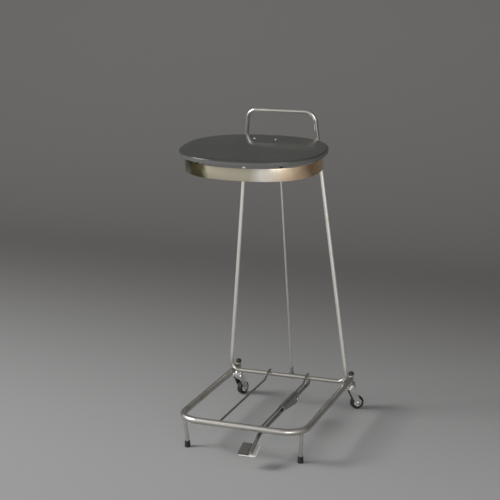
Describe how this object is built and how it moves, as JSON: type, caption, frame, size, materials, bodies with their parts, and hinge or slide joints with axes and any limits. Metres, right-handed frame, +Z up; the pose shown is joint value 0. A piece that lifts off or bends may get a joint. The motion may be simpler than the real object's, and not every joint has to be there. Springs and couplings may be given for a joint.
{
  "type": "waste_sack_holder",
  "caption": "Free-standing waste sack holder: steel stand on two feet and two castors, an oval sack hoop at the top and a dark lid that a pedal lifts through a push rod",
  "frame": {"origin": "on the floor, under the middle of the holder's outer box", "axes": "+Z up, -Y towards the pedal, +X to the right of someone standing at the pedal"},
  "size_m": [0.4074, 0.576, 0.8999],
  "materials": {
    "rail_steel": "satin stainless steel tube and rod",
    "fitting_steel": "plain steel fittings",
    "polished_steel": "polished",
    "lid_plastic": "glossy dark grey",
    "black_rubber": "matt black",
    "tyre_rubber": "matt black",
    "black_plastic": "matt black",
    "pale_plastic": "pale grey",
    "dark_fitting": "blackened steel"
  },
  "bodies": {
    "stand": {"base_tube": "rail_steel", "back_frame": "rail_steel", "support_rod_left": "rail_steel", "support_rod_right": "rail_steel", "front_leg_left": "rail_steel", "front_leg_right": "rail_steel", "foot_ferrule_left": "black_rubber", "foot_ferrule_right": "black_rubber", "castor_sleeve_left": "fitting_steel", "castor_sleeve_right": "fitting_steel", "castor_cap_left": "black_plastic", "castor_cap_right": "black_plastic", "castor_stem_left": "fitting_steel", "castor_stem_right": "fitting_steel", "sack_hoop": "polished_steel", "hoop_arm_left": "rail_steel", "hoop_arm_right": "rail_steel", "hinge_rod": "rail_steel", "pivot_bracket": "dark_fitting", "pivot_pin": "fitting_steel"},
    "lid_assembly": {"lid": "lid_plastic", "lid_crank": "fitting_steel", "lid_strap_left": "fitting_steel", "lid_strap_right": "fitting_steel", "lid_rivet_left": "fitting_steel", "lid_rivet_right": "fitting_steel", "lid_buffer_left": "black_rubber", "lid_buffer_right": "black_rubber"},
    "pedal": {"pedal_lever": "rail_steel", "pedal_plate": "fitting_steel", "pedal_pad": "black_rubber", "lower_clip": "dark_fitting"},
    "push_rod_assembly": {"push_rod": "rail_steel", "push_rod_end": "dark_fitting", "upper_clip": "dark_fitting"},
    "castor_left": {"castor_fork_left": "polished_steel", "castor_axle_left": "fitting_steel"},
    "wheel_left": {"castor_hub_left": "pale_plastic", "castor_tyre_left": "tyre_rubber"},
    "castor_right": {"castor_fork_right": "polished_steel", "castor_axle_right": "fitting_steel"},
    "wheel_right": {"castor_hub_right": "pale_plastic", "castor_tyre_right": "tyre_rubber"}
  },
  "joints": [
    {"name": "lid_hinge", "type": "hinge", "parent": "stand", "child": "lid_assembly", "pos_m": [-0.00821, 0.11077, 0.81205], "axis": [-1, 0, 0], "range_deg": [0, 60]},
    {"name": "pedal_pivot", "type": "hinge", "parent": "stand", "child": "pedal", "pos_m": [0.04779, 0.07671, 0.076], "axis": [1, 0, 0], "range_deg": [0, 5.52]},
    {"name": "push_rod_pivot", "type": "hinge", "parent": "pedal", "child": "push_rod_assembly", "pos_m": [-0.00821, 0.22971, 0.09], "axis": [1, 0, 0], "range_deg": [-5.52, 0]},
    {"name": "castor_swivel_left", "type": "hinge", "parent": "stand", "child": "castor_left", "pos_m": [-0.18571, 0.24871, 0.075], "axis": [0, 0, 1], "continuous": true},
    {"name": "wheel_spin_left", "type": "hinge", "parent": "castor_left", "child": "wheel_left", "pos_m": [-0.17886, 0.2675, 0.02], "axis": [0.9397, -0.342, 0], "continuous": true},
    {"name": "castor_swivel_right", "type": "hinge", "parent": "stand", "child": "castor_right", "pos_m": [0.1693, 0.24871, 0.075], "axis": [0, 0, 1], "continuous": true},
    {"name": "wheel_spin_right", "type": "hinge", "parent": "castor_right", "child": "wheel_right", "pos_m": [0.18462, 0.26157, 0.02], "axis": [0.6428, -0.766, 0], "continuous": true}
  ],
  "couplings": [
    {"joint": "pedal_pivot", "follows": "lid_hinge", "ratio": 0.092},
    {"joint": "push_rod_pivot", "follows": "lid_hinge", "ratio": -0.092}
  ]
}
